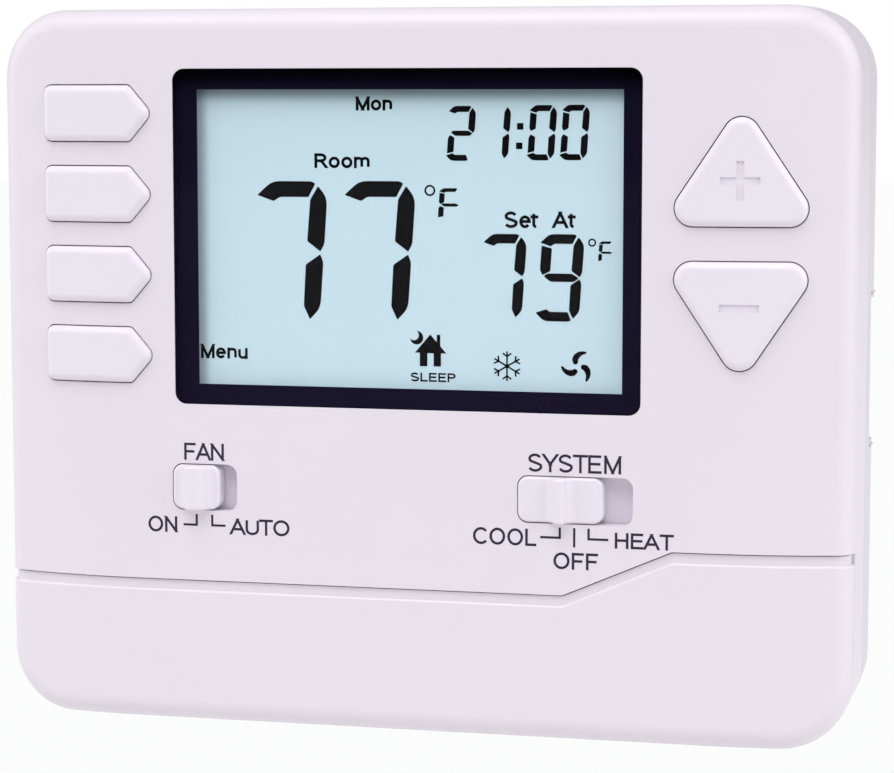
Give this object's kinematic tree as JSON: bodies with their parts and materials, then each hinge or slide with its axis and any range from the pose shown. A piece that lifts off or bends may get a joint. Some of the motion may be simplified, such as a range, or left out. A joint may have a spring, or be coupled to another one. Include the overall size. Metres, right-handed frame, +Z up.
{
  "type": "wall thermostat",
  "caption": "Rectangular digital wall thermostat with a display window, side keys, up and down keys, slide switches and a drop-down battery door.",
  "frame": {"origin": "middle of the two wall-screw holes, on the wall plane", "axes": "+Z up, +Y into the wall, +X to the right as the user faces it; the front faces -Y"},
  "size_m": [0.1224, 0.029, 0.1014],
  "materials": {
    "shell_plastic": "fine-grained moulded plastic, white with a faint cool cast",
    "base_plastic": "fine-grained moulded plastic, a shade duller than the front",
    "key_plastic": "smooth moulded plastic",
    "clear_lens": "clear acrylic, hard coated",
    "mask_ink": "near-black navy printing ink",
    "display_glass": "pale blue reflective display glass",
    "light_guide": "milky acrylic",
    "black_plastic": "black moulded plastic",
    "grey_rubber": "layered conductive rubber",
    "circuit_board": "green solder mask on glass laminate",
    "plated_steel": "zinc or nickel plated",
    "contact_brass": "bare brass",
    "relay_case": "off-white moulded case",
    "chip_resin": "black moulding resin",
    "capacitor_sleeve": "dark shrink sleeve",
    "bright_can": "bright drawn metal",
    "sensor_epoxy": "epoxy dip",
    "silicone": "translucent silicone",
    "tray_plastic": "plain moulded plastic",
    "cell_jacket": "printed film jacket over a steel can",
    "terminal_plastic": "glass-filled moulding"
  },
  "bodies": {
    "wall_base": {"wall_plate": "base_plastic", "terminal_block_left": "terminal_plastic", "terminal_block_right": "terminal_plastic", "terminal_screws": "plated_steel", "terminal_clamps": "plated_steel", "terminal_contacts": "contact_brass", "jumper_link": "plated_steel"},
    "thermostat_body": {"rear_shell": "base_plastic", "front_shell": "shell_plastic", "display_window": "clear_lens", "window_mask": "mask_ink", "lcd_glass": "display_glass", "backlight_panel": "light_guide", "backlight_leds": "light_guide", "lcd_frame": "black_plastic", "zebra_strip": "grey_rubber", "main_pcb": "circuit_board", "pcb_screws": "plated_steel", "case_screws": "plated_steel", "relays": "relay_case", "microcontroller": "chip_resin", "capacitors": "capacitor_sleeve", "crystal": "bright_can", "temperature_sensor": "sensor_epoxy", "header_pins": "contact_brass", "key_pad_left": "silicone", "key_pad_right": "silicone", "fan_switch_body": "bright_can", "system_switch_body": "bright_can", "battery_tray": "tray_plastic", "battery_springs": "plated_steel", "battery_contacts": "plated_steel", "battery_1": "cell_jacket", "battery_2": "cell_jacket"},
    "menu_button_1": {"menu_key_1": "key_plastic"},
    "menu_button_2": {"menu_key_2": "key_plastic"},
    "menu_button_3": {"menu_key_3": "key_plastic"},
    "menu_button_4": {"menu_key_4": "key_plastic"},
    "plus_button": {"plus_key": "key_plastic"},
    "minus_button": {"minus_key": "key_plastic"},
    "fan_slide": {"fan_knob": "key_plastic", "fan_switch_slider": "black_plastic"},
    "system_slide": {"system_knob": "key_plastic", "system_switch_slider": "black_plastic"},
    "battery_cover": {"battery_door": "shell_plastic", "door_hinge_pins": "plated_steel"}
  },
  "joints": [
    {"name": "body_pull_off", "type": "slide", "parent": "wall_base", "child": "thermostat_body", "axis": [0, -1, 0], "range_m": [0, 0.03]},
    {"name": "menu_press_1", "type": "slide", "parent": "thermostat_body", "child": "menu_button_1", "axis": [0, 1, 0], "range_m": [0, 0.0008], "stiffness_N_per_m": 1200, "springref_m": -0.0004, "deforming": ["key_pad_left"]},
    {"name": "menu_press_2", "type": "slide", "parent": "thermostat_body", "child": "menu_button_2", "axis": [0, 1, 0], "range_m": [0, 0.0008], "stiffness_N_per_m": 1200, "springref_m": -0.0004, "deforming": ["key_pad_left"]},
    {"name": "menu_press_3", "type": "slide", "parent": "thermostat_body", "child": "menu_button_3", "axis": [0, 1, 0], "range_m": [0, 0.0008], "stiffness_N_per_m": 1200, "springref_m": -0.0004, "deforming": ["key_pad_left"]},
    {"name": "menu_press_4", "type": "slide", "parent": "thermostat_body", "child": "menu_button_4", "axis": [0, 1, 0], "range_m": [0, 0.0008], "stiffness_N_per_m": 1200, "springref_m": -0.0004, "deforming": ["key_pad_left"]},
    {"name": "plus_press", "type": "slide", "parent": "thermostat_body", "child": "plus_button", "axis": [0, 1, 0], "range_m": [0, 0.0008], "stiffness_N_per_m": 1200, "springref_m": -0.0004, "deforming": ["key_pad_right"]},
    {"name": "minus_press", "type": "slide", "parent": "thermostat_body", "child": "minus_button", "axis": [0, 1, 0], "range_m": [0, 0.0008], "stiffness_N_per_m": 1200, "springref_m": -0.0004, "deforming": ["key_pad_right"]},
    {"name": "fan_switch", "type": "slide", "parent": "thermostat_body", "child": "fan_slide", "axis": [1, 0, 0], "range_m": [0, 0.0024]},
    {"name": "system_switch", "type": "slide", "parent": "thermostat_body", "child": "system_slide", "axis": [1, 0, 0], "range_m": [0, 0.004]},
    {"name": "door_hinge", "type": "hinge", "parent": "thermostat_body", "child": "battery_cover", "pos_m": [0, -0.02255, -0.04935], "axis": [1, 0, 0], "range_deg": [0, 100]}
  ]
}
